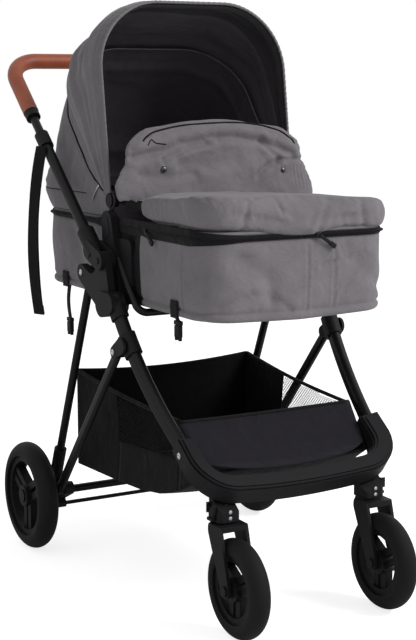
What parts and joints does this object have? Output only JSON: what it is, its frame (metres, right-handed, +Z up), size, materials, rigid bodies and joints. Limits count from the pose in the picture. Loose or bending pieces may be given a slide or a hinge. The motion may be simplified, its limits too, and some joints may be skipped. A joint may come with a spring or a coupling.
{
  "type": "bassinet pram",
  "caption": "Folding pram with a grey cloth bassinet and hood on a black tube frame, swivelling front wheels, storage basket and a tan push bar.",
  "frame": {"origin": "on the ground, under the middle of the pram's box", "axes": "+Z up, -Y towards the foot end and the front wheels, +Y towards the push bar, +X to the right as seen from the front"},
  "size_m": [0.5672, 0.91, 1.0837],
  "materials": {
    "black_tube": "satin black powder coat",
    "black_plastic": "fine moulded grain",
    "wheel_plastic": "satin",
    "steel": "zinc plated",
    "tan_leather": "stitched tan leather",
    "grey_cloth": "plain woven polyester",
    "black_cloth": "plain woven polyester and net",
    "webbing": "woven webbing",
    "snap_black": "smooth",
    "tyre": "smooth foam rubber"
  },
  "bodies": {
    "chassis": {"front_leg_left": "black_tube", "front_leg_right": "black_tube", "front_bar": "black_plastic", "caster_housing_left": "black_plastic", "caster_housing_right": "black_plastic", "hub_left": "black_plastic", "hub_right": "black_plastic", "strut_collar_left": "black_plastic", "strut_collar_right": "black_plastic", "adapter_left": "black_plastic", "adapter_right": "black_plastic", "frame_bolts": "steel", "basket": "black_cloth", "basket_mesh": "black_cloth", "bassinet_tub": "grey_cloth", "bassinet_base": "black_plastic", "mattress": "black_cloth", "zip_band": "webbing", "apron": "grey_cloth", "support_hoop": "black_tube", "buckle_straps": "webbing", "hood_panel_rear": "grey_cloth", "hood_bow_rear": "black_tube", "hood_hinges": "black_plastic"},
    "wind_flap": {"apron_flap": "grey_cloth", "flap_snaps": "snap_black"},
    "hood": {"hood_panel_front": "grey_cloth", "hood_bow_front": "black_tube"},
    "handle": {"handle_tube_left": "black_tube", "handle_tube_right": "black_tube", "knuckle_left": "black_plastic", "knuckle_right": "black_plastic", "collar_left": "black_plastic", "collar_right": "black_plastic", "wrist_strap": "webbing"},
    "push_bar": {"handle_bar": "black_tube", "grip_cover": "tan_leather", "grip_rings": "black_plastic"},
    "struts": {"strut_left": "black_tube", "strut_right": "black_tube"},
    "rear_frame": {"rear_leg_left": "black_tube", "rear_leg_right": "black_tube", "rear_bracket_left": "black_plastic", "rear_bracket_right": "black_plastic", "rear_axle": "steel"},
    "brake": {"brake_bar": "black_tube"},
    "release_button_left": {"adapter_button_left": "black_plastic"},
    "rear_wheel_left": {"rear_tyre_left": "tyre", "rear_rim_left": "wheel_plastic"},
    "caster_left": {"fork_left": "black_plastic"},
    "swivel_lock_left": {"lock_tab_left": "black_plastic"},
    "front_wheel_left": {"front_tyre_left": "tyre", "front_rim_left": "wheel_plastic"},
    "release_button_right": {"adapter_button_right": "black_plastic"},
    "rear_wheel_right": {"rear_tyre_right": "tyre", "rear_rim_right": "wheel_plastic"},
    "caster_right": {"fork_right": "black_plastic"},
    "swivel_lock_right": {"lock_tab_right": "black_plastic"},
    "front_wheel_right": {"front_tyre_right": "tyre", "front_rim_right": "wheel_plastic"}
  },
  "joints": [
    {"name": "handle_fold", "type": "hinge", "parent": "chassis", "child": "handle", "pos_m": [0, -0.01041, 0.61379], "axis": [1, 0, 0], "range_deg": [0, 160]},
    {"name": "push_bar_slide", "type": "slide", "parent": "handle", "child": "push_bar", "axis": [0, 0.7604, 0.6494], "range_m": [-0.02, 0.04]},
    {"name": "rear_fold", "type": "hinge", "parent": "chassis", "child": "rear_frame", "pos_m": [0, 0.07759, 0.58279], "axis": [-1, 0, 0], "range_deg": [0, 38]},
    {"name": "strut_fold", "type": "hinge", "parent": "chassis", "child": "struts", "pos_m": [0, -0.06641, 0.45379], "axis": [-1, 0, 0], "range_deg": [0, 46]},
    {"name": "brake_press", "type": "hinge", "parent": "rear_frame", "child": "brake", "pos_m": [0, 0.243, 0.089], "axis": [-1, 0, 0], "range_deg": [0, 18]},
    {"name": "hood_fold", "type": "hinge", "parent": "chassis", "child": "hood", "pos_m": [0, 0.025, 0.72], "axis": [-1, 0, 0], "range_deg": [0, 45]},
    {"name": "flap_fold", "type": "hinge", "parent": "chassis", "child": "wind_flap", "pos_m": [0, -0.044, 0.755], "axis": [1, 0, 0], "range_deg": [0, 70]},
    {"name": "release_press_left", "type": "slide", "parent": "chassis", "child": "release_button_left", "axis": [1, 0, 0], "range_m": [0, 0.004], "stiffness_N_per_m": 400, "springref_m": -0.001},
    {"name": "rear_wheel_spin_left", "type": "hinge", "parent": "rear_frame", "child": "rear_wheel_left", "pos_m": [-0.2625, 0.271, 0.108], "axis": [1, 0, 0], "continuous": true},
    {"name": "caster_swivel_left", "type": "hinge", "parent": "chassis", "child": "caster_left", "pos_m": [-0.151, -0.318, 0.188], "axis": [0, 0, 1], "continuous": true},
    {"name": "swivel_lock_slide_left", "type": "slide", "parent": "chassis", "child": "swivel_lock_left", "axis": [0, 0, 1], "range_m": [0, 0.008]},
    {"name": "front_wheel_spin_left", "type": "hinge", "parent": "caster_left", "child": "front_wheel_left", "pos_m": [-0.151, -0.368, 0.087], "axis": [1, 0, 0], "continuous": true},
    {"name": "release_press_right", "type": "slide", "parent": "chassis", "child": "release_button_right", "axis": [-1, 0, 0], "range_m": [0, 0.004], "stiffness_N_per_m": 400, "springref_m": -0.001},
    {"name": "rear_wheel_spin_right", "type": "hinge", "parent": "rear_frame", "child": "rear_wheel_right", "pos_m": [0.2625, 0.271, 0.108], "axis": [1, 0, 0], "continuous": true},
    {"name": "caster_swivel_right", "type": "hinge", "parent": "chassis", "child": "caster_right", "pos_m": [0.151, -0.318, 0.188], "axis": [0, 0, 1], "continuous": true},
    {"name": "swivel_lock_slide_right", "type": "slide", "parent": "chassis", "child": "swivel_lock_right", "axis": [0, 0, 1], "range_m": [0, 0.008]},
    {"name": "front_wheel_spin_right", "type": "hinge", "parent": "caster_right", "child": "front_wheel_right", "pos_m": [0.151, -0.368, 0.087], "axis": [1, 0, 0], "continuous": true}
  ],
  "couplings": [
    {"joint": "rear_fold", "follows": "handle_fold", "ratio": 0.2375},
    {"joint": "strut_fold", "follows": "handle_fold", "ratio": 0.2875}
  ]
}
